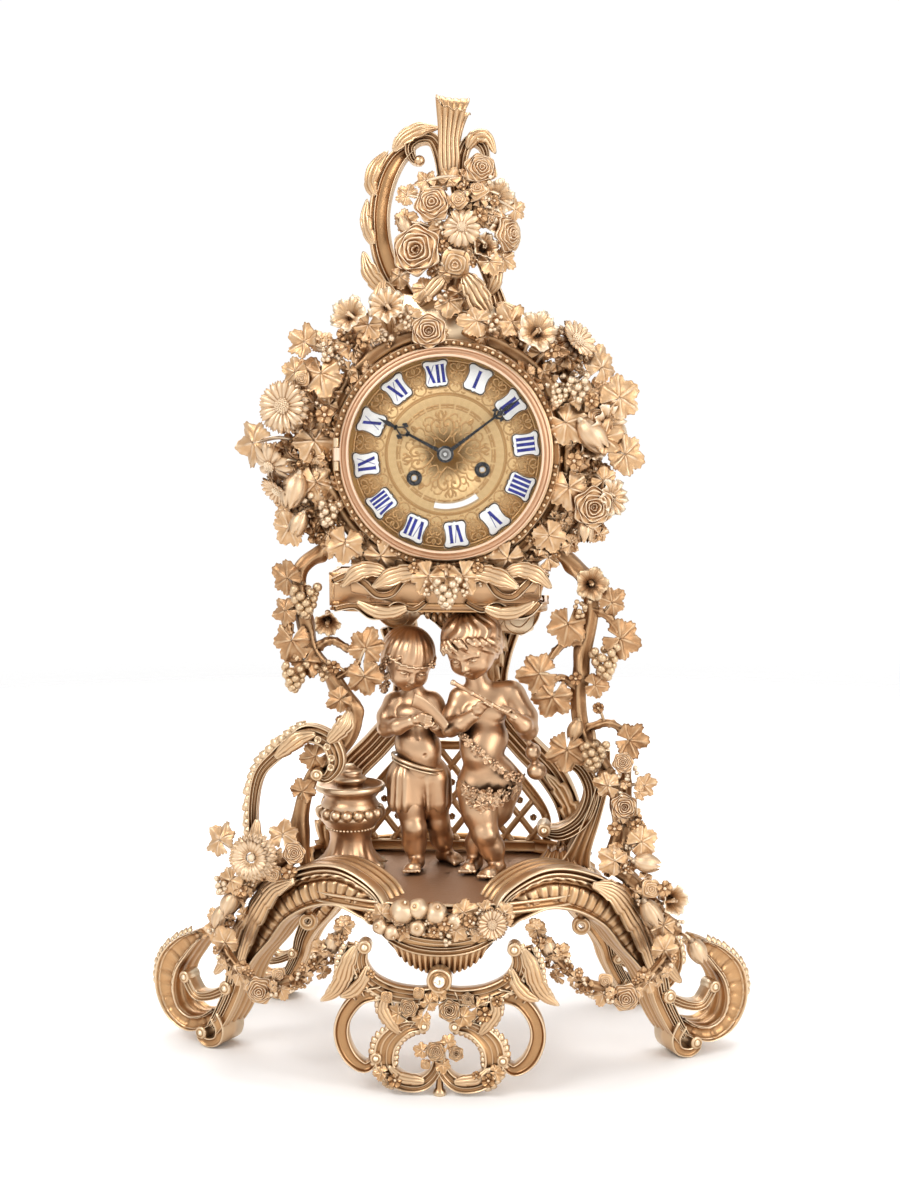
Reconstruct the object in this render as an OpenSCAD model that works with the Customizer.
// Figural mantel clock in gilt bronze, in millimetres.
// +Z is up, the dial looks towards -Y, and the origin lies on the shelf under the middle of the clock.

/* [Dial and case] */
// Height of the dial's centre above the shelf
dial_z = 378; // [376:1:380]
// Distance of the dial plate's face in front of the case's middle plane
dial_y = 30; // [29.8:0.1:30.2]
// Radius of the dial that shows inside the bezel
dial_r = 58.5; // [58:0.1:58.8]
// Outer radius of the glazed bezel
bezel_r = 64.5; // [64:0.1:64.8]
// Outer radius of the drum that holds the movement
drum_r = 62; // [61.8:0.1:62.1]
// Outer radius of the beaded ring round the bezel
surround_r = 70; // [69:0.5:71]
// Turn of the dial and movement against the case, seen from the front
dial_turn = 7; // [0:1:10]
// Radius of the circle on which the hour plaques sit
plaque_ring_r = 49; // [48:0.5:50]

/* [Base] */
// Height of the floor on which the figures stand
floor_z = 114; // [113:0.5:115]
// Thickness of that floor
floor_t = 8; // [6:1:8]
// Half width of the floor
floor_a = 98; // [97:1:99]
// Half depth of the floor
floor_b = 72; // [71:1:73]
// Depth of a front leg's casting
leg_t = 26; // [22:1:27]
// Angle of a front leg in plan, from the clock's width
front_leg_turn = 27.6; // [27:0.2:28]
// Size of a rear leg against a front leg
rear_leg_scale = 0.82; // [0.8:0.01:0.82]
// Angle of a rear leg in plan, from the clock's width
rear_leg_turn = 18; // [17:0.2:18]
// Thickness of the pierced front apron
apron_t = 10; // [8:1:10]

/* [Movement] */
// Radius of the two movement plates
plate_r = 47; // [46:0.5:48]
// Thickness of the movement plates
plate_t = 2.5; // [2:0.1:2.5]
// Distance of each winding arbor to the side of the centre
winding_x = 21; // [20.5:0.1:21.5]
// Distance of the winding arbors below the centre
winding_drop = 12; // [11.5:0.1:12.5]
// Teeth on each great wheel
great_teeth = 84; // [84:1:84]
// Leaves on the pinion that a great wheel drives
great_pinion = 12; // [12:1:12]
// Length of the pendulum from its suspension to the bob's centre
pendulum_l = 112; // [110:1:113]
// Radius of the pendulum bob
bob_r = 12; // [10:0.5:12]

/* [Hidden] */

GILT = "#d9ab6d";
PALE_GILT = "#e6c28d";
BRONZE = "#b58350";
BRASS = "#c9a24a";
STEEL = "#8d9095";
BLUE_BLACK = "#17181f";
COPPER = "#a97a55";
CLEARANCE = 0.05;

// Places in the movement, as across and up from the dial's centre before the dial's turn
going_at = [winding_x, -winding_drop];
strike_at = [-winding_x, -winding_drop];
third_at = [7.3, 12.6];
escape_at = [0, 21.6];
escape_arbor_r = 0.45;
pallet_at = [0, 32.6];
minute_at = [0, -11.2];
second_at = [-18.9, 12.1];
fly_at = [-20.7, 22.4];
hammer_at = [0, -42];
pillar_at = [[34, 22], [-34, 22], [13, -42], [-13, -42]];
stand_at = [-30, -26];
front_plate_y = -20;
back_plate_y = 12.5;
back_face_y = back_plate_y + plate_t;

// Suspension point of the pendulum once the movement's turn is counted
pallet_x = -pallet_at[1] * sin(dial_turn);
pallet_z = dial_z + pallet_at[1] * cos(dial_turn);
rod_y = 22;

// Curves and outlines
function spline_point(p, i, t) =
    let (a = p[max(i - 1, 0)], b = p[i], c = p[i + 1], d = p[min(i + 2, len(p) - 1)])
    0.5 * (2 * b + (c - a) * t + (2 * a - 5 * b + 4 * c - d) * t * t + (3 * b - 3 * c + d - a) * t * t * t);
function smooth(p, steps) =
    [for (i = [0:len(p) - 2]) for (s = [0:steps - 1]) spline_point(p, i, s / steps), p[len(p) - 1]];
function edge_way(p, i) =
    let (a = p[max(i - 1, 0)], b = p[min(i + 1, len(p) - 1)], d = [b[0] - a[0], b[1] - a[1]])
    [-d[1], d[0]] / norm(d);
function ribbon(p) = concat(
    [for (i = [0:len(p) - 1]) [p[i][0], p[i][1]] + edge_way(p, i) * p[i][2] / 2],
    [for (i = [len(p) - 1:-1:0]) [p[i][0], p[i][1]] - edge_way(p, i) * p[i][2] / 2]);
function ellipse(a, b, cy, from, to, n) =
    [for (i = [0:n]) let (t = from + (to - from) * i / n) [a * cos(t), cy + b * sin(t)]];
function polar(r, t) = [r * cos(t), r * sin(t)];
function gear_outline(teeth, pitch_r, phase) =
    let (m = 2 * pitch_r / teeth, tip = pitch_r + 0.8 * m, root = pitch_r - 1.25 * m, step = 360 / teeth)
    [for (i = [0:teeth - 1]) for (k = [
        [root, -0.24], [tip, -0.09], [tip, 0.09], [root, 0.24]]) polar(k[0], (i + k[1]) * step + phase)];

// Flat band of changing width through points of across, up and width
module scroll(p, steps = 4) polygon(ribbon(smooth(p, steps)));

// Outline drawn across and up, given a thickness backwards from a front plane
module upright(y, t) translate([0, y + t, 0]) rotate([90, 0, 0]) linear_extrude(t) children();
module upright_at(at, y, t) translate([at[0], y + t, at[1]]) rotate([90, 0,
    0]) linear_extrude(t) children();
module on_dial() translate([0, 0, dial_z]) rotate([0, -dial_turn, 0]) children();
module disc_y(r, y0, y1, at = [0, 0]) translate([at[0], y1, at[1]]) rotate([90, 0,
    0]) cylinder(h = y1 - y0, r = r, $fn = 64);
module gear(teeth, pitch_r, y0, t, at, phase = 0)
    translate([at[0], y0 + t, at[1]]) rotate([90, 0, 0]) linear_extrude(t) polygon(gear_outline(teeth,
        pitch_r, phase));
module square_y(w, y0, y1, at) translate([at[0] - w / 2, y0, at[1] - w / 2]) cube([w, y1 - y0, w]);

// Cast ornament
module chain(p)
    for (i = [0:len(p) - 2]) hull() {
        translate([p[i][0], p[i][1], p[i][2]]) sphere(p[i][3], $fn = 6);
        translate([p[i + 1][0], p[i + 1][1], p[i + 1][2]]) sphere(p[i + 1][3], $fn = 6);
    }
module facing(at, turn) translate(at) rotate(turn) rotate([90, 0, 0]) children();
function nearest(at, pts) =
    let (d = [for (p = pts) norm([p[0], p[1], p[2]] - at)], i = search(min(d), d)[0]) [pts[i][0],
        pts[i][1], pts[i][2]];
module twig(at, vine) hull() {
    translate(nearest(at, vine)) cube(3, center = true);
    translate(at) cube(2.4, center = true);
}
module rose(at, r, turn = [0, 0, 0])
    facing(at, turn) hull() {
        translate([0, 0, -0.5 * r]) cylinder(h = 0.9 * r, r1 = 0.45 * r, r2 = r, $fn = 8);
        translate([0, 0, 0.3 * r]) sphere(0.75 * r, $fn = 8);
    }
module daisy(at, r, turn = [0, 0, 0])
    facing(at, turn) {
        linear_extrude(0.22 * r) polygon([for (i = [0:19]) polar(i % 2 == 0 ? r : 0.72 * r, i * 18)]);
        hull() {
            cylinder(h = 0.1 * r, r = 0.45 * r, $fn = 8);
            cylinder(h = 0.4 * r, r = 0.3 * r, $fn = 8);
        }
    }
module trumpet(at, r, turn = [0, 0, 0])
    facing(at, turn) hull() {
        translate([0, 0, 0.4 * r]) cylinder(h = 0.15 * r, r = r, $fn = 10);
        translate([0, 0, -0.9 * r]) cylinder(h = 0.1, r = 0.25 * r, $fn = 10);
    }
module bud(at, l, turn = [0, 0, 0])
    facing(at, turn) hull() {
        sphere(0.3 * l, $fn = 6);
        translate([0, 0.45 * l, 0]) sphere(0.2 * l, $fn = 6);
    }
module leaf(at, l, turn = [0, 0, 0])
    facing(at, turn) linear_extrude(0.09 * l, center = true) polygon(l * [
        [-0.05, 0], [-0.34, -0.12], [-0.36, 0.12], [-0.6, 0.3], [-0.38, 0.42], [-0.4, 0.66],
            [-0.16, 0.66],
        [0, 1], [0.16, 0.66], [0.4, 0.66], [0.38, 0.42], [0.6, 0.3], [0.36, 0.12], [0.34, -0.12],
            [0.05, 0]]);
module grapes(at, n, r)
    translate(at) for (i = [0:n - 1]) hull() {
        translate([r * 1.1 * sin(i * 140), r * 0.7 * cos(i * 140), -i * r * 0.8]) sphere(r, $fn = 6);
        translate([0, 0, -i * r * 0.8]) sphere(0.5 * r, $fn = 6);
    }

// Room that the case takes out of the ornament round it
module case_room() {
    translate([0, 0, dial_z]) {
        disc_y(drum_r + 0.1, -24.1, 63);
        disc_y(surround_r + 0.1, -34.1, -23.9);
        disc_y(bezel_r + 0.9, -70, -33.9);
    }
}
module slab(extra = 0)
    translate([0, 0, floor_z - floor_t - extra]) linear_extrude(floor_t + 2 * extra)
        polygon(ellipse(floor_a + extra, floor_b + extra, -18, 0, 354, 59));

// Front leg, drawn along its own plane: across from its root beside the lip, and up
module leg_outline() {
    scroll([[3, 103, 16], [12, 112, 24], [34, 119, 27], [58, 114, 27], [79, 101, 26], [92, 83, 22],
        [103, 68, 18], [110, 54, 15],
        [114, 40, 13], [122, 24, 12], [130, 12, 10]]);
    scroll([[143, 71, 7], [155, 62, 14], [166, 49, 17], [169, 33, 16], [163, 19, 13], [151, 13, 11],
        [138, 16, 9], [129, 22, 8]]);
    scroll([[152, 44, 6], [144, 33, 6], [132, 34, 6], [116, 42, 7]]);
    scroll([[129, 22, 8], [124, 14, 7], [126, 6, 6], [134, 3, 6], [140, 6, 5], [138, 10, 3]]);
    polygon([[127, 0], [140, 0], [141, 5], [125, 5]]);
}
module front_leg_solid()
    translate([35, -88, 0]) rotate([0, 0, front_leg_turn]) upright(0, leg_t) leg_outline();
module ahead_of_front_leg()
    translate([35, -88, 0]) rotate([0, 0, front_leg_turn]) translate([0, -10, 0]) cube([150, 10.05, floor_z + 1]);
module rear_leg_solid()
    difference() {
        translate([20, 34.4, 0]) rotate([0, 0, rear_leg_turn]) scale(rear_leg_scale) upright(0,
            leg_t) leg_outline();
        slab(0.05);
        wall();
    }

// Floor with its low back wall, its moulded front lip and the fluted valance under it
module wall()
    translate([0, 0, floor_z]) linear_extrude(10) polygon(concat(
        ellipse(floor_a, floor_b, -18, 20, 160, 35),
        ellipse(floor_a - 5, floor_b - 5, -18, 160, 20, 35)));
module front_lip() {
    upright(-92, 9) scroll([[-35, 101, 7], [-28, 95, 9], [-16, 90, 11], [0, 88, 11], [16, 90, 11],
        [28, 95, 9], [35, 101, 7]]);
    upright(-91, 12) polygon(concat([[-34, floor_z - floor_t]],
        [for (i = [0:8]) [-30 + 7.5 * i, 94 - 6 * sin(22.5 * i)]],
        [[34, floor_z - floor_t]]));
}
module platform() color(GILT) {
    difference() {
        slab();
        for (s = [0, 1]) mirror([s, 0, 0]) {
            front_leg_solid();
            ahead_of_front_leg();
        }
    }
    difference() {
        wall();
        for (s = [0, 1]) mirror([s, 0, 0]) pillar_solid();
        bracket_solid();
    }
    difference() {
        front_lip();
        for (s = [0, 1]) mirror([s, 0, 0]) front_leg_solid();
    }
    upright(-88, 8) polygon(concat([[-30, 92], [-30, 88]],
        [for (i = [1:9]) [-30 + 6 * i, 88 - 19 * sin(18 * i)]], [[30, 88], [30, 92]]));
}
module left_front_leg() color(GILT) mirror([1, 0, 0]) front_leg_solid();
module right_front_leg() color(GILT) front_leg_solid();
module left_rear_leg() color(GILT) mirror([1, 0, 0]) rear_leg_solid();
module right_rear_leg() color(GILT) rear_leg_solid();

// Pierced apron between the front legs, standing on the middle foot
boss_z = 70;
module apron_half() {
    scroll([[44, 91, 6], [47, 80, 8], [41, 69, 8], [28, 62, 9], [12, 60, 9], [0, 62, 9]]);
    scroll([[52, 90, 6], [55, 78, 9], [57, 67, 8], [64, 59, 4]]);
    scroll([[34, 62, 8], [47, 58, 7], [55, 47, 7], [57, 35, 7], [52, 23, 7], [43, 17, 6], [37, 22, 4]]);
    scroll([[47, 58, 7], [50, 66, 8], [46, 76, 6]]);
    scroll([[8, 42, 4], [20, 41, 9], [31, 31, 13], [32, 17, 12], [23, 8, 10], [11, 7, 9], [3, 14, 7],
        [0, 25, 6]]);
    scroll([[20, 41, 9], [30, 50, 10], [33, 61, 8]]);
    scroll([[6, 62, 8], [12, 52, 6], [20, 42, 7]]);
}
module front_apron() color(GILT) difference() {
    upright(-98.5, apron_t) {
        apron_half();
        mirror([1, 0, 0]) apron_half();
        translate([0, boss_z]) circle(7.5, $fn = 64);
        polygon([[-3.5, 0], [3.5, 0], [4, 30], [-4, 30]]);
    }
    disc_y(1.7, -110, -80, [0, boss_z]);
    for (s = [0, 1]) mirror([s, 0, 0]) front_leg_solid();
}
module apron_screw() color(STEEL) difference() {
    union() {
        disc_y(3, -100, -98.5, [0, boss_z]);
        disc_y(1.65, -98.5, -88.1, [0, boss_z]);
    }
    translate([-4, -101, boss_z - 0.4]) cube([8, 1.7, 0.8]);
}

// Pierced lugs under the front arches, by which the clock is pinned to a plinth
lug_x = 84;
lug_y = -50;
lug_z = 91;
lug_bore_r = 1.7;
module fixing_lugs() color(GILT) for (s = [-1, 1]) difference() {
    union() {
        disc_y(5.8, lug_y - 2, lug_y + 2, [s * lug_x, lug_z]);
        translate([s * lug_x - 3, lug_y - 2, lug_z + 3]) cube([6, 4, 12]);
    }
    disc_y(lug_bore_r, lug_y - 5, lug_y + 5, [s * lug_x, lug_z]);
    mirror([s < 0 ? 1 : 0, 0, 0]) front_leg_solid();
}

// Twin scrolled pillars behind the figures, the cradle on them and the trellis between them
module pillar_outline()
    scroll([[34, 268, 24], [30, 250, 20], [28, 230, 18], [33, 209, 18], [48, 190, 18], [65, 172, 18],
        [76, 152, 16], [79, 132, 15], [76, 113, 18]]);
module pillar_solid() difference() {
    upright(14, 16) pillar_outline();
    translate([-200, 0, 0]) cube([400, 60, floor_z + 0.05]);
}
module left_pillar() color(GILT) difference() {
    mirror([1, 0, 0]) pillar_solid();
    urn_solid(0.1);
}
module right_pillar() color(GILT) difference() {
    pillar_solid();
    bracket_solid();
}
module cradle_solid() difference() {
    union() {
        upright(-24, 54) polygon([[-74, 302], [-74, 281], [-46, 284], [-20, 281], [20, 280],
            [57, 284], [63, 305],
            [52, 330], [-52, 330]]);
        upright(6, 24) polygon([[-46, 285], [-40, 270], [-24, 268], [-16, 278], [-8, 274], [0, 262],
            [14, 258], [26, 266], [46, 262], [54, 266], [57, 285]]);
        upright(-32, 8.1) polygon([[-60, 302], [-60, 292], [-34, 286], [-18, 280], [20, 280],
            [38, 290], [56, 292], [60, 304]]);
    }
    case_room();
    translate([-30, 11, 276]) cube([52, 40, 60]);
}
module cradle() color(GILT) difference() {
    cradle_solid();
    pillar_solid();
    mirror([1, 0, 0]) pillar_solid();
}
module trellis() color(GILT) difference() {
    upright(36, 4) intersection() {
        polygon([[-64, floor_z], [-64, 140], [-44, 168], [-24, 186], [24, 186], [44, 168], [64, 140],
            [64, floor_z]]);
        union() {
            for (i = [-7:7]) {
                translate([i * 18, 150]) rotate(38) square([4, 140], center = true);
                translate([i * 18, 150]) rotate(-38) square([4, 140], center = true);
            }
            scroll([[-62, floor_z, 6], [-62, 140, 6], [-44, 166, 6], [-24, 184, 6], [0, 186, 6],
                [24, 184, 6], [44, 166, 6], [62, 140, 6],
                [62, floor_z, 6]]);
            translate([-64, floor_z]) square([128, 8]);
        }
    }
    wall();
    slab(0.05);
}

// Open volute behind the left shoulder and the C-scroll bracket on the right of the floor
module volute_outline()
    scroll([[-111, 108, 9], [-119, 130, 6], [-121, 155, 6], [-117, 178, 7], [-106, 191, 8],
        [-97, 198, 10], [-86, 205, 12],
        [-73, 200, 12], [-68, 187, 11], [-74, 177, 7], [-81, 178, 4]]);
module left_volute() color(GILT) difference() {
    upright(-34, 10) volute_outline();
    mirror([1, 0, 0]) front_leg_solid();
    slab(0.05);
}
module bracket_solid() difference() {
    upright(-14, 20) union() {
        scroll([[70, 187, 7], [84, 181, 9], [91, 165, 10], [85, 148, 10], [72, 139, 9], [60, 140, 5]]);
        scroll([[99, 192, 7], [98, 172, 8], [92, 150, 10], [84, 128, 14], [80, 112, 26]]);
        polygon([[53, 110], [92, 110], [88, 127], [60, 124], [53, 119]]);
    }
    translate([0, -60, 0]) cube([200, 120, floor_z + 0.05]);
}
module right_bracket() color(GILT) bracket_solid();

// Turned urn with a beaded waist and a stopper
urn_at = [-63, -4];
module urn_solid(extra = 0)
    translate([urn_at[0], urn_at[1], floor_z]) rotate_extrude($fn = 64) polygon([
        [0, 0.05], [22 + extra, 0.05], [22 + extra, 4], [15 + extra, 12], [13 + extra, 22],
            [15 + extra, 30], [21 + extra, 34],
        [21 + extra, 39], [17 + extra, 43], [16 + extra, 47], [22 + extra, 50], [22 + extra, 54 + extra],
            [19.5 - extra, 54 + extra],
        [17 - extra, 50.5 + extra], [8, 50.5], [8, 56], [9, 59], [8, 62], [4.5, 63], [4.5, 66],
            [0, 67]]);
module urn() color(GILT) urn_solid();

// The two children, in the round
module head(at, r) hull() {
    translate(at) sphere(r, $fn = 12);
    translate(at + [0, -0.25 * r, -0.35 * r]) sphere(0.72 * r, $fn = 10);
}
left_foot_y = -13;
module left_figure() color(BRONZE) difference() {
    union() {
        head([-25, -6, 249], 17);
        chain([[-22, -4, 232, 8], [-22, -3, 216, 15], [-20, -4, 200, 14.5], [-19, -5, 184, 16],
            [-19, -5, 172, 18], [-19, -4, 154, 19]]);
        chain([[-25, -6, 156, 10], [-21, -10, 140, 8], [-20, -10, 126, 6], [-20, -12, 118, 5],
            [-21, -21, 117, 4]]);
        chain([[-10, -2, 156, 10], [-7, 2, 140, 8], [-6, 8, 128, 6], [-4, 12, 118, 4.5],
            [-1, 4, 116.5, 3]]);
        chain([[-36, -3, 220, 7], [-39, -12, 206, 6], [-26, -24, 212, 5], [-14, -27, 216, 4]]);
        chain([[-9, -4, 220, 7], [-4, -14, 208, 6], [-9, -26, 211, 4]]);
        facing([-6, -30, 214], [10, 0, -30]) linear_extrude(1.6, center = true) square([17, 19],
            center = true);
    }
    translate([-100, -100, 0]) cube([200, 200, floor_z + 0.05]);
}
module right_figure_solid() difference() {
    union() {
        head([15, -16, 259], 19);
        chain([[18, -13, 238, 9], [24, -11, 220, 17], [24, -12, 204, 16], [23, -13, 188, 18],
            [25, -13, 172, 19], [25, -14, 162, 17]]);
        chain([[18, -17, 164, 12], [22, -20, 148, 9.5], [27, -22, 136, 7.5], [31, -22, 122, 5.5],
            [30, -24, 118, 4.5], [28, -33, 117, 4]]);
        chain([[32, -10, 160, 12], [24, -8, 144, 9], [18, -12, 134, 7.5], [17, -14, 121, 5.5],
            [17, -16, 118, 4.5], [15, -25, 117, 4]]);
        chain([[7, -12, 222, 8], [3, -22, 207, 7], [16, -34, 214, 5.5], [23, -38, 225, 4]]);
        chain([[42, -11, 224, 9], [50, -20, 206, 7], [45, -32, 214, 5.5], [38, -37, 221, 4]]);
        chain([[48, -16, 198, 4], [54, -16, 191, 6], [55, -14, 184, 3.5], [57, -13, 178, 6]]);
    }
    translate([-100, -100, 0]) cube([200, 200, floor_z + 0.05]);
}
flute_from = [4, -44, 240];
flute_to = [44, -40, 217];
module flute_body(extra = 0) {
    way = flute_to - flute_from;
    translate(flute_from) rotate([0, acos(way[2] / norm(way)), atan2(way[1],
        way[0])]) cylinder(h = norm(way), r = 1.5 + extra, $fn = 32);
}
module right_figure() color(BRONZE) difference() {
    right_figure_solid();
    flute_body(0.1);
    left_figure();
}
module flute() color(BRONZE) flute_body();

// Vine branches with leaves and grapes, from the wreath down to the floor
module sprays(vine, leaves, roses = [], daisies = [], trumpets = [], buds = [], bunches = []) {
    chain(vine);
    for (p = leaves) leaf(p[0], p[1], [0, p[2], 0]);
    for (p = roses) rose(p[0], p[1]);
    for (p = daisies) daisy(p[0], p[1]);
    for (p = trumpets) trumpet(p[0], p[1]);
    for (p = buds) bud(p[0], p[1], [0, p[2], 0]);
    for (p = bunches) grapes(p[0], p[1], 4);
    for (p = concat(leaves, roses, daisies, trumpets, buds, bunches)) twig(p[0], vine);
}
module left_branch() color(PALE_GILT) difference() {
    sprays([[-79, -16, 318, 4], [-92, -18, 306, 4.5], [-92, -20, 288, 4.5], [-85, -20, 256, 4.5],
        [-71, -18, 238, 4.5],
        [-59, -18, 218, 4.5], [-60, -18, 204, 4.5], [-68, -20, 192, 4], [-84, -24, 178, 4],
            [-92, -26, 150, 5], [-90, -24, 117, 7]],
        leaves = [[[-96, -26, 264], 22, 200], [[-56, -28, 252], 20, -20], [[-54, -28, 246], 20, 170],
            [[-98, -24, 300], 18, -60],
            [[-88, -28, 250], 20, 150]],
        trumpets = [[[-76, -28, 271], 9]],
        bunches = [[[-90, -25, 292], 6], [[-92, -26, 244], 5]]);
    case_room();
    cradle_solid();
    slab(0.05);
    mirror([1, 0, 0]) front_leg_solid();
    mirror([1, 0, 0]) pillar_solid();
    left_volute();
    urn_solid(0.1);
}
module right_branch() color(PALE_GILT) difference() {
    sprays([[70, -16, 318, 4], [85, -18, 300, 4.5], [90, -18, 282, 4.5], [84, -20, 249, 4.5],
        [82, -20, 226, 4.5],
        [85, -20, 205, 4.5], [95, -22, 190, 4], [106, -26, 168, 4], [108, -30, 142, 5],
            [100, -32, 117, 7]],
        leaves = [[[74, -26, 276], 21, 190], [[62, -26, 244], 22, -100], [[68, -26, 232], 22, -130],
            [[104, -26, 266], 20, 60],
            [[76, -28, 200], 24, 185], [[112, -26, 204], 18, 70]],
        trumpets = [[[91, -30, 298], 9]],
        bunches = [[[96, -25, 256], 6], [[93, -30, 194], 6]]);
    case_room();
    cradle_solid();
    slab(0.05);
    front_leg_solid();
    pillar_solid();
    bracket_solid();
}

// Flowering wreath round the case, in two halves
function around(r, from, to, n, y, thick) =
    [for (i = [0:n]) let (t = from + (to - from) * i / n) [r * cos(t), y, dial_z + r * sin(t), thick]];
module left_wreath() color(PALE_GILT) difference() {
    sprays(concat(around(75, 97, 258, 11, -22, 6), around(90, 216, 140, 5, -16, 7)),
        leaves = [[[-77, -31, 426], 20, 160], [[-84, -30, 388], 22, 180],
            [[-118, -20, 386], 24, -110], [[-80, -28, 362], 20, 170],
            [[-86, -28, 445], 20, -60], [[-96, -24, 338], 20, -150], [[-66, -30, 326], 20, 190],
                [[-40, -32, 318], 18, 140]],
        roses = [[[-10, -36, 453], 11], [[-108, -26, 364], 12]],
        daisies = [[[-99, -34, 407], 17]],
        trumpets = [[[-60, -34, 463], 10], [[-36, -34, 467], 9]],
        buds = [[[-96, -24, 350], 18, 160]],
        bunches = [[[-73, -32, 345], 4], [[-72, -30, 440], 3]]);
    case_room();
    cradle_solid();
    left_branch();
    crest_base();
}
module right_wreath() color(PALE_GILT) difference() {
    sprays(concat(around(75, 83, -78, 11, -22, 6), around(90, -40, 38, 5, -16, 7)),
        leaves = [[[104, -26, 412], 22, 60], [[76, -32, 400], 20, 120], [[78, -30, 362], 20, 160],
            [[112, -22, 380], 20, 100],
            [[40, -30, 452], 18, -60], [[44, -32, 318], 20, 200], [[66, -30, 330], 18, 150],
                [[20, -32, 454], 18, -90]],
        roses = [[[91, -32, 347], 13]],
        daisies = [[[79, -30, 444], 14]],
        trumpets = [[[58, -36, 453], 10], [[92, -30, 388], 15]],
        buds = [[[86, -26, 332], 16, 170]],
        bunches = [[[80, -32, 420], 4]]);
    case_room();
    cradle_solid();
    right_branch();
    crest_base();
}

// Crest: an open C-scroll with a flaring leaf, and the bouquet it carries
module crest_base() difference() {
    upright(-6, 20) polygon([[-46, 436], [-46, 454], [-36, 462], [-28, 478], [28, 470], [38, 460],
        [46, 452], [46, 436]]);
    case_room();
}
module crest_scroll() color(GILT) {
    crest_base();
    upright(-1, 11) {
        scroll([[-30, 460, 14], [-40, 474, 9], [-47, 497, 8], [-47, 523, 8], [-39, 547, 9],
            [-24, 562, 10], [-8, 560, 9], [0, 546, 6]]);
        scroll([[-4, 540, 8], [3, 556, 12], [4, 574, 10], [0, 590, 16]]);
        scroll([[-6, 585, 4], [-3, 592, 6], [4, 593.5, 5], [9, 590, 3]]);
        scroll([[4, 552, 9], [16, 563, 6], [26, 558, 6], [24, 548, 4]]);
        scroll([[-24, 562, 8], [-27, 572, 6], [-20, 578, 5], [-14, 573, 4]]);
        scroll([[30, 456, 14], [31, 474, 9], [24, 492, 7], [16, 508, 7], [4, 548, 6]]);
    }
}
module crest_bouquet() color(PALE_GILT) difference() {
    sprays([[2, -2, 476, 6], [4, -4, 488, 8], [2, -4, 502, 11], [8, -4, 516, 12], [16, -4, 530, 11],
        [18, -4, 544, 8]],
        leaves = [[[-14, -12, 474], 18, -40], [[-18, -12, 538], 16, -50]],
        roses = [[[-10, -18, 530], 10], [[-22, -14, 502], 13], [[20, -14, 552], 9],
            [[36, -10, 511], 10], [[22, -16, 504], 8]],
        daisies = [[[8, -22, 515], 11]],
        trumpets = [[[31, -12, 535], 9]],
        buds = [[[3, -18, 490], 14, 0], [[14, -12, 476], 16, 0]]);
    case_room();
    crest_scroll();
}

// Vine-leaf mask with hanging grapes under the dial, and the fruit on the floor's lip
module grape_mask() color(PALE_GILT) difference() {
    sprays([[-14, -37, 304, 4], [0, -38, 306, 5], [14, -37, 304, 4]],
        leaves = [[[-9, -41, 307], 20, 200], [[9, -41, 307], 20, 160]],
        bunches = [[[1, -38, 294], 6]]);
    case_room();
    cradle_solid();
}
module lip_fruit() color(PALE_GILT) difference() {
    sprays([[-34, -90, 103, 4], [-20, -90, 103, 5], [-6, -90, 104, 5], [8, -90, 104, 5],
        [22, -90, 103, 5], [34, -90, 103, 4]],
        leaves = [[[12, -94, 106], 12, 60], [[-4, -94, 104], 12, 200]],
        roses = [[[-13, -92, 110], 6.5], [[-31, -92, 103], 4.5], [[-24, -93, 99], 4]],
        daisies = [[[29, -94, 103], 8]]);
    front_leg_solid();
    mirror([1, 0, 0]) front_leg_solid();
    front_lip();
    slab(0.05);
}

// Flowers on the shoulders of the base, and the festoons across the front arches
module left_base_flowers() color(PALE_GILT) difference() {
    sprays([[-88, -46, 130, 6], [-98, -44, 128, 7], [-110, -44, 120, 8], [-122, -42, 110, 8],
        [-132, -40, 98, 7], [-142, -36, 84, 6]],
        leaves = [[[-132, -50, 138], 18, -100], [[-100, -42, 142], 16, -10]],
        roses = [[[-115, -60, 133], 12], [[-91, -62, 136], 6]],
        daisies = [[[-115, -66, 133], 13]],
        buds = [[[-136, -50, 104], 14, 200], [[-128, -54, 112], 14, 150], [[-140, -46, 92], 14, 200]]);
    mirror([1, 0, 0]) front_leg_solid();
    left_volute();
    left_branch();
    slab(0.05);
}
module right_base_flowers() color(PALE_GILT) difference() {
    sprays([[112, -32, 188, 3], [112, -34, 164, 4], [112, -38, 142, 6], [100, -44, 128, 6],
        [112, -42, 120, 8], [122, -42, 110, 8],
        [134, -38, 94, 7], [146, -34, 82, 6]],
        leaves = [[[112, -50, 142], 18, 30], [[120, -52, 128], 18, 100]],
        roses = [[[109, -40, 188], 6], [[110, -42, 162], 8], [[128, -56, 104], 8]],
        trumpets = [[[142, -50, 106], 9]],
        buds = [[[112, -40, 176], 12, 30], [[154, -42, 78], 16, 160]]);
    front_leg_solid();
    right_branch();
    bracket_solid();
    slab(0.05);
}
module festoon(side) scale([side, 1, 1]) sprays(
    [[57, -90, 100, 4], [67, -88, 84, 3], [78, -84, 71, 3], [92, -79, 63, 4], [108, -72, 57, 5],
        [122, -64, 62, 4], [134, -56, 72, 4],
        [140, -50, 78, 4]],
    leaves = [[[134, -60, 78], 16, 30], [[124, -68, 62], 12, 160]],
    roses = [[[110, -76, 55], 9], [[86, -84, 64], 5]],
    buds = [[[70, -90, 86], 12, 200]]);
module left_festoon() color(PALE_GILT) difference() {
    festoon(-1);
    mirror([1, 0, 0]) front_leg_solid();
    left_base_flowers();
}
module right_festoon() color(PALE_GILT) difference() {
    festoon(1);
    front_leg_solid();
    right_base_flowers();
}

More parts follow.
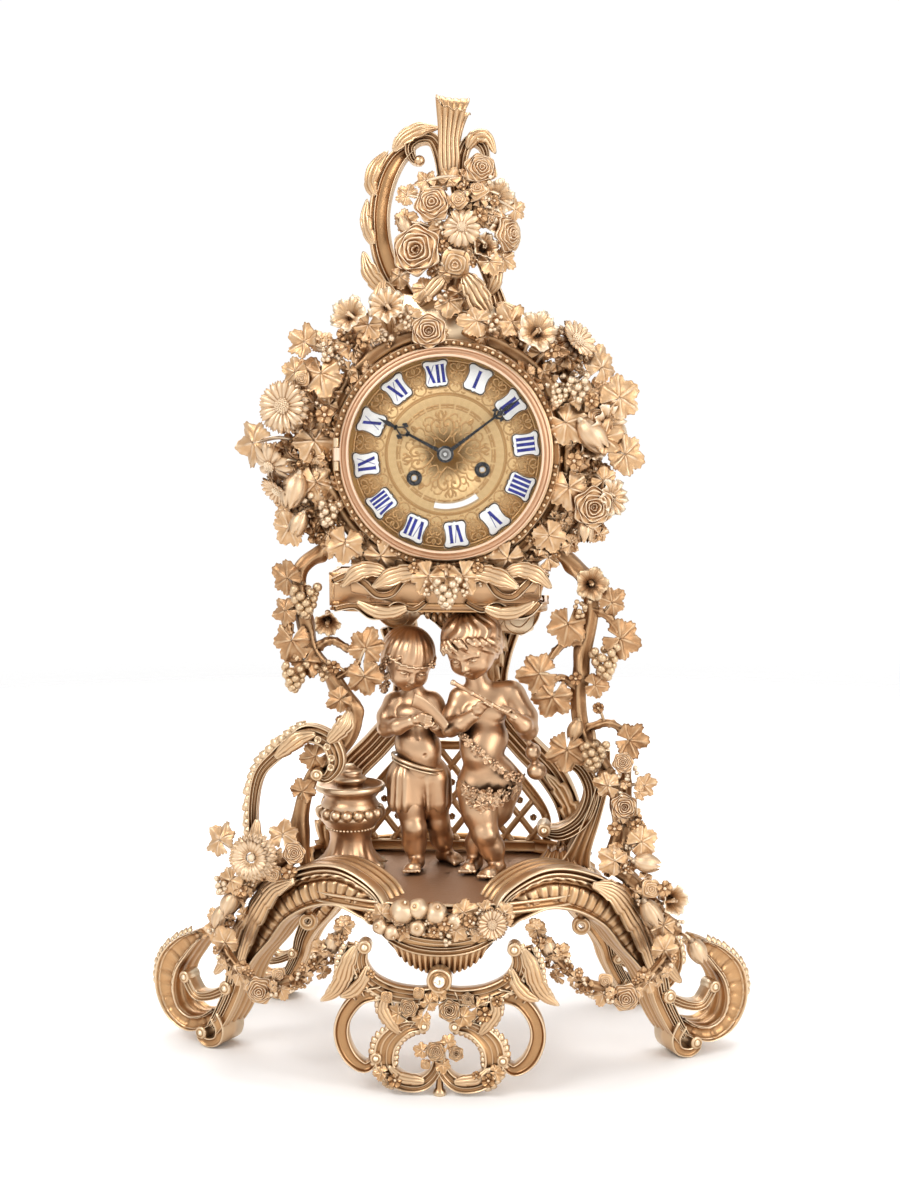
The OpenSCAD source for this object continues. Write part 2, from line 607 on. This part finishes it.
// Drum, open at the back, with the pendulum's slot in its underside
slot_half = 9;
module drum() color(COPPER) difference() {
    translate([0, 0, dial_z]) difference() {
        disc_y(drum_r, -28, 60);
        disc_y(drum_r - 2.4, -29, 61);
    }
    translate([pallet_x - slot_half, 13, dial_z - drum_r - 2]) cube([2 * slot_half, 18, 20]);
}
hinge_x = -66.6;
hinge_y = -36;
module knuckle(x, y, z0, z1, r, bore) translate([x, y, z0]) difference() {
    cylinder(h = z1 - z0, r = r, $fn = 48);
    if (bore > 0) translate([0, 0, -1]) cylinder(h = z1 - z0 + 2, r = bore, $fn = 48);
}
module dial_surround() color(GILT) difference() {
    union() {
        translate([0, 0, dial_z]) {
            disc_y(surround_r, -33.8, -24);
            for (i = [-34:34]) rotate([0, i * 5, 0]) disc_y(1.3, -34.6, -33.7, [surround_r - 2.6, 0]);
        }
        for (z = [-10, 4.3]) {
            knuckle(hinge_x, hinge_y, dial_z + z, dial_z + z + 5.7, 2, 0);
            translate([hinge_x - 1.5, hinge_y, dial_z + z]) cube([3, 3, 5.7]);
        }
        knuckle(hinge_x, hinge_y, dial_z - 9, dial_z + 9, 1, 0);
    }
    translate([0, 0, dial_z]) disc_y(drum_r + CLEARANCE, -40, -20);
}
module bezel_ring() color(COPPER) difference() {
    union() {
        translate([0, 0, dial_z]) {
            disc_y(bezel_r, -40, -34.3);
            disc_y(bezel_r - 3, -42, -39);
        }
        knuckle(hinge_x, hinge_y, dial_z - 4, dial_z + 4, 2, 0);
        translate([hinge_x, hinge_y - 2, dial_z - 4]) cube([4, 1.5, 8]);
    }
    translate([0, 0, dial_z]) {
        disc_y(dial_r, -50, -30);
        disc_y(dial_r + 1.5, -39.6, -30);
    }
    translate([hinge_x, hinge_y, dial_z - 6]) cylinder(h = 12, r = 1 + CLEARANCE, $fn = 48);
    translate([0, 0, dial_z]) disc_y(bezel_r + 20, -33.9, -20);
}
module bezel_glass() color([0.8, 0.9, 0.95, 0.35]) translate([0, 0, dial_z]) disc_y(dial_r + 1.4,
    -39.5, -37.9);

// Rear door on its own hinge
door_hinge_x = 64.6;
door_hinge_y = 61.6;
module rear_door() color(COPPER) difference() {
    union() {
        translate([0, 0, dial_z]) {
            disc_y(drum_r, 60.3, 61.8);
            disc_y(4, 61.8, 66, [-50, 0]);
        }
        knuckle(door_hinge_x, door_hinge_y, dial_z - 8, dial_z + 8, 1.9, 0);
        translate([door_hinge_x - 8, 60.3, dial_z - 8]) cube([8, 1.5, 16]);
    }
    translate([door_hinge_x, door_hinge_y, dial_z - 10]) cylinder(h = 20, r = 1, $fn = 48);
    for (i = [0:5]) translate([0, 0, dial_z]) rotate([0, i * 60, 0]) disc_y(5, 55, 70, [0, 26]);
}

// Dial plate with its feet, and the enamels on it
module dial_plate() color(BRASS) on_dial() difference() {
    union() {
        disc_y(drum_r - 0.5, -dial_y, -28);
        for (i = [0:3]) disc_y(1.2, -28.01, front_plate_y, polar(42, 45 + 90 * i));
    }
    disc_y(3.4, -40, -20);
    disc_y(4, -40, -20, going_at);
    disc_y(4, -40, -20, strike_at);
}
module plaque(w, h) polygon([
    [-w / 2, -h * 0.38], [-w * 0.4, -h / 2], [w * 0.4, -h / 2], [w / 2, -h * 0.38], [w * 0.44, 0],
        [w / 2, h * 0.38], [w * 0.4, h / 2],
    [-w * 0.4, h / 2], [-w / 2, h * 0.38], [-w * 0.44, 0]]);
module enamel_plaques() color("white") on_dial() {
    for (i = [0:11]) rotate([0, i * 30, 0]) translate([0, -dial_y, plaque_ring_r]) rotate([90, 0,
        0]) linear_extrude(1.2) plaque(15, 16);
    upright(-dial_y - 1.2, 1.2) polygon(concat([for (i = [0:10]) polar(33.4, 250 + 5 * i)],
        [for (i = [10:-1:0]) polar(30.2, 250 + 5 * i)]));
}

// Movement plates and what is fixed to them
module bore_y(r, at) disc_y(r + CLEARANCE, -60, 60, at);
module arbor_holes() {
    bore_y(1, [0, 0]);
    bore_y(1.5, going_at);
    bore_y(1.5, strike_at);
    bore_y(0.8, third_at);
    bore_y(escape_arbor_r, escape_at);
    bore_y(1, pallet_at);
    bore_y(0.8, second_at);
    bore_y(0.8, fly_at);
    bore_y(1.2, hammer_at);
}
module front_plate() color(BRASS) on_dial() difference() {
    union() {
        disc_y(plate_r, front_plate_y, front_plate_y + plate_t);
        disc_y(0.8, front_plate_y - 7, front_plate_y + 0.1, minute_at);
    }
    arbor_holes();
}
module back_plate() color(BRASS) on_dial() {
    difference() {
        disc_y(plate_r, back_plate_y, back_face_y);
        arbor_holes();
    }
    for (p = pillar_at) {
        disc_y(3, front_plate_y + plate_t, back_plate_y, p);
        disc_y(2.4, back_face_y, back_face_y + 1.5, p);
    }
}
module suspension_cock() color(BRASS) on_dial() difference() {
    translate([pallet_at[0] - 6, back_face_y, pallet_at[1] + 2.6]) cube([12, 10, 6]);
    translate([pallet_at[0] - 0.9, 20, pallet_at[1] + 2]) cube([1.8, 4, 5]);
}
bell_r = 31.5;
module bell_stand() color(STEEL) on_dial() {
    disc_y(2, back_face_y, 55, stand_at);
    difference() {
        union() {
            disc_y(3.2, 53, 55, stand_at);
            disc_y(3.2, 53, 55);
            upright(53, 2) polygon([[-30, -28], [2, -2], [-2, 2], [-31, -24]]);
        }
        disc_y(1.5, 50, 60);
    }
    disc_y(1.5, 44, 56.5);
    disc_y(3, 55, 56.5);
}
module bell() color(BRASS) on_dial() translate([0, 53, 0]) rotate([90, 0, 0]) difference() {
    rotate_extrude($fn = 96) polygon([[1.6, 0], [14, 0], [23, 3], [28, 8], [30, 14], [31.5, 20],
        [29.7, 20], [28.2, 14.4], [26.4, 9],
        [22, 4.8], [13.5, 1.8], [1.6, 1.8]]);
}

// Going train
great_pitch_r = norm(going_at) * great_teeth / (great_teeth + great_pinion);
pinion_pitch_r = norm(going_at) - great_pitch_r;
centre_pitch_r = norm(third_at) * 96 / 104;
third_pinion_r = norm(third_at) - centre_pitch_r;
third_pitch_r = norm(escape_at - third_at) * 98 / 105;
escape_pinion_r = norm(escape_at - third_at) - third_pitch_r;
cannon_pitch_r = norm(minute_at) * 14 / 56;
minute_pitch_r = norm(minute_at) - cannon_pitch_r;
hour_pitch_r = norm(minute_at) * 40 / 50;
minute_pinion_r = norm(minute_at) - hour_pitch_r;
second_pitch_r = norm(fly_at - second_at) * 60 / 70;
fly_pinion_r = norm(fly_at - second_at) - second_pitch_r;
function heading(from, to) = atan2(to[1] - from[1], to[0] - from[0]);
// Phase that puts a tooth on the line towards a point, or a gap there when shift is half
function meshed(from, to, teeth, shift) = heading(from, to) + shift * 360 / teeth;

module barrel(at, wheel_y, phase) {
    difference() {
        union() {
            disc_y(18.5, -16, 0, at);
            gear(great_teeth, great_pitch_r, wheel_y, 1.5, at, phase);
        }
        disc_y(17, -14.5, -1.5, at);
        bore_y(1.5, at);
    }
}
module winding_arbor(at) {
    disc_y(1.5, -24, back_face_y, at);
    square_y(2.6, -31, -24, at);
    difference() {
        disc_y(6, -22, -20.2, at);
        for (i = [0:11]) translate([at[0], 0, at[1]]) rotate([0, i * 30, 0]) disc_y(0.9, -23, -19, [6,
            0]);
    }
}
module centre_arbor() color(STEEL) on_dial() {
    disc_y(1, -36.6, back_face_y);
    gear(great_pinion, pinion_pitch_r, -3, 4, [0, 0], meshed([0, 0], going_at, great_pinion, 0.5));
    gear(96, centre_pitch_r, 3, 1.5, [0, 0], meshed([0, 0], third_at, 96, 0));
}
module going_barrel() color(BRASS) on_dial() barrel(going_at, -1.5, meshed(going_at, [0, 0],
    great_teeth, 0));
module going_arbor() color(STEEL) on_dial() winding_arbor(going_at);
module third_wheel() color(BRASS) on_dial() {
    disc_y(0.8, front_plate_y, back_face_y, third_at);
    gear(8, third_pinion_r, 2, 3.5, third_at, meshed(third_at, [0, 0], 8, 0.5));
    gear(98, third_pitch_r, 7, 1.2, third_at, meshed(third_at, escape_at, 98, 0));
}
escape_r = 8;
module escape_wheel() color(BRASS) on_dial() {
    disc_y(escape_arbor_r, front_plate_y, back_face_y, escape_at);
    gear(7, escape_pinion_r, 6, 3.2, escape_at, meshed(escape_at, third_at, 7, 0.5));
    upright_at(escape_at, -9, 1) polygon([for (i = [0:29]) for (k = [[6.4, -3], [escape_r, 3],
        [escape_r, 4], [6.4, 6]])
        polar(k[0], i * 12 + k[1])]);
}

// Motion work under the dial, and the hands. The cannon pinion is a friction fit on the centre arbor, so that the
// hands can be set without turning the train.
module cannon_pinion() color(STEEL) on_dial() difference() {
    union() {
        disc_y(1.6, -36.8, -21);
        gear(14, cannon_pitch_r, -23.4, 2.4, [0, 0], meshed([0, 0], minute_at, 14, 0.5));
    }
    bore_y(1, [0, 0]);
}
module minute_wheel() color(BRASS) on_dial() difference() {
    union() {
        gear(42, minute_pitch_r, -22.6, 1, minute_at, meshed(minute_at, [0, 0], 42, 0));
        gear(10, minute_pinion_r, -26.4, 3.8, minute_at, meshed(minute_at, [0, 0], 10, 0.5));
    }
    bore_y(0.8, minute_at);
}
module hour_wheel() color(BRASS) on_dial() difference() {
    union() {
        gear(40, hour_pitch_r, -25.8, 1.2, [0, 0], meshed([0, 0], minute_at, 40, 0));
        disc_y(2.8, -33.4, -24.6);
    }
    bore_y(1.6, [0, 0]);
}
minute_angle = 60.4;
hour_angle = 305.2;
module hand(l, y, bore, boss) difference() {
    union() {
        disc_y(boss, y, y + 1, [0, 0]);
        upright(y, 1) {
            polygon([[-1.1, 0], [1.1, 0], [0.7, l * 0.62], [0, l], [-0.7, l * 0.62]]);
            polygon([for (i = [0:11]) [0, l * 0.68] + polar(i % 2 == 0 ? l * 0.115 : l * 0.05,
                i * 30 + 30)]);
        }
    }
    bore_y(bore, [0, 0]);
}
module minute_hand() color(BLUE_BLACK) on_dial() rotate([0, minute_angle, 0]) difference() {
    union() {
        hand(58, -36.8, 1.55, 5);
        disc_y(3.6, -37.3, -36.8);
    }
    disc_y(1.6, -36.85, -30);
}
module hour_hand() color(BLUE_BLACK) on_dial() rotate([0, hour_angle, 0]) hand(47, -34.4, 1.6, 5);

// Escapement: anchor with its crutch, and the pendulum
module pallet_anchor() color(STEEL) translate([pallet_x, 0, pallet_z]) {
    disc_y(1, front_plate_y, 20.4);
    upright(-9, 1) scroll([[-9.6, -5.5, 1.6], [-7, -0.5, 2], [0, 1.6, 2.4], [7, -0.5, 2],
        [9.6, -5.5, 1.6]]);
    upright(18.6, 1.2) polygon([[-1.2, 1.5], [1.2, 1.5], [1, -22], [-1, -22]]);
    for (s = [-1, 1]) translate([s * 1.9 - 0.5, 18.6, -22]) cube([1, 6, 2.4]);
    translate([-2.4, 18.6, -22]) cube([4.8, 1.2, 2.4]);
}
module pendulum_rod() color(STEEL) translate([pallet_x, 0, pallet_z]) {
    translate([-0.25, rod_y - 1.5, -8]) cube([0.5, 3, 10.5]);
    translate([0, rod_y, -pendulum_l - bob_r - 4]) cylinder(h = pendulum_l + bob_r - 4, r = 0.8,
        $fn = 32);
}
module pendulum_bob() color(BRASS) translate([pallet_x, rod_y, pallet_z - pendulum_l]) difference() {
    union() {
        rotate([90, 0, 0]) translate([0, 0, -4]) rotate_extrude($fn = 64) polygon([[0, 0],
            [bob_r - 3, 0], [bob_r, 3], [bob_r, 5],
            [bob_r - 3, 8], [0, 8]]);
        translate([0, 0, -bob_r - 3]) cylinder(h = 3.2, r = 2.2, $fn = 32);
    }
    translate([0, 0, -40]) cylinder(h = 80, r = 0.8, $fn = 32);
}

// Striking train
module strike_barrel() color(BRASS) on_dial() barrel(strike_at, -14.5, meshed(strike_at, second_at,
    great_teeth, 0));
module strike_arbor() color(STEEL) on_dial() winding_arbor(strike_at);
module strike_wheel() color(BRASS) on_dial() {
    disc_y(0.8, front_plate_y, back_face_y, second_at);
    gear(great_pinion, pinion_pitch_r, -15.5, 3.5, second_at, meshed(second_at, strike_at,
        great_pinion, 0.5));
    gear(60, second_pitch_r, 6, 1.2, second_at, meshed(second_at, fly_at, 60, 0));
}
module strike_fly() color(BRASS) on_dial() {
    disc_y(0.8, front_plate_y, back_face_y, fly_at);
    gear(10, fly_pinion_r, 5.4, 2.4, fly_at, meshed(fly_at, second_at, 10, 0.5));
    translate([fly_at[0] - 6.5, -10, fly_at[1] - 0.4]) cube([13, 13, 0.8]);
}
module hammer() color(STEEL) on_dial() {
    disc_y(1.2, front_plate_y, 19, hammer_at);
    upright(16.6, 2) polygon([hammer_at + [-2, -1], hammer_at + [2, -2], [33, -22], [35, -18],
        [31, -18]]);
    disc_y(1.3, 17, 40, [33, -20]);
    disc_y(3.4, 35, 43, [33, -20]);
}

platform();
left_front_leg();
right_front_leg();
left_rear_leg();
right_rear_leg();
front_apron();
apron_screw();
fixing_lugs();
left_pillar();
right_pillar();
cradle();
trellis();
left_volute();
right_bracket();
urn();
left_figure();
right_figure();
flute();
left_branch();
right_branch();
left_wreath();
right_wreath();
crest_scroll();
crest_bouquet();
grape_mask();
lip_fruit();
left_base_flowers();
right_base_flowers();
left_festoon();
right_festoon();
drum();
dial_surround();
dial_plate();
enamel_plaques();
front_plate();
back_plate();
suspension_cock();
bell_stand();
bell();
bezel_ring();
bezel_glass();
rear_door();
pendulum_rod();
pendulum_bob();
pallet_anchor();
cannon_pinion();
centre_arbor();
minute_hand();
hour_wheel();
hour_hand();
minute_wheel();
going_barrel();
going_arbor();
third_wheel();
escape_wheel();
strike_barrel();
strike_arbor();
strike_wheel();
strike_fly();
hammer();
